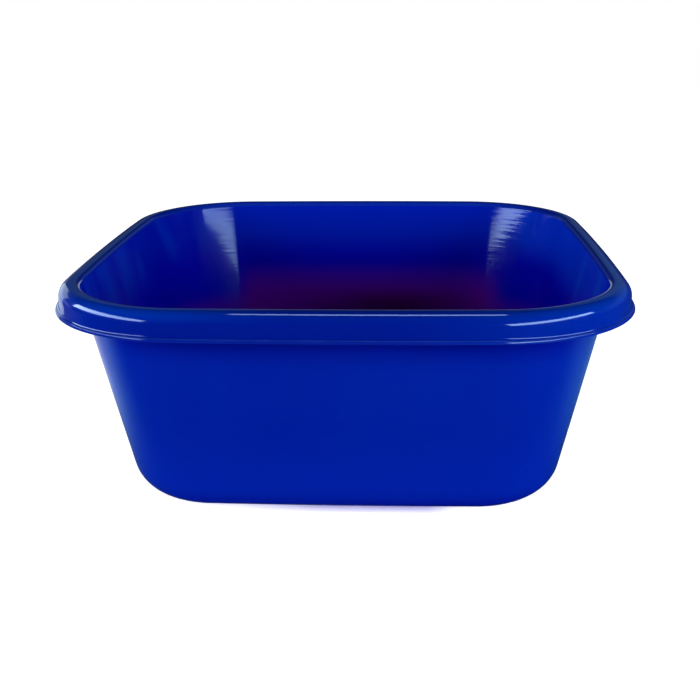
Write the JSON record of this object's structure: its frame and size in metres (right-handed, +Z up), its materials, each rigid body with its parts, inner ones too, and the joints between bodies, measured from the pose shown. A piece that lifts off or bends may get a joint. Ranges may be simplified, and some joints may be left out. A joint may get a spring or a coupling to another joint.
{
  "type": "washing up bowl",
  "caption": "Square washing up bowl in gloss plastic: bowed sides, large round corners, drafted walls, rounded base edge and a rolled rim whose skirt ends in an outward lip.",
  "frame": {"origin": "under the bowl's centre, on the surface that it stands on", "axes": "+Z up; +X and +Y square to the sides, which are all alike, with -Y towards the picture's camera"},
  "size_m": [0.32, 0.32, 0.126],
  "materials": {
    "plastic": "polished mould, royal blue"
  },
  "bodies": {
    "root": {"bowl": "plastic"}
  },
  "joints": []
}
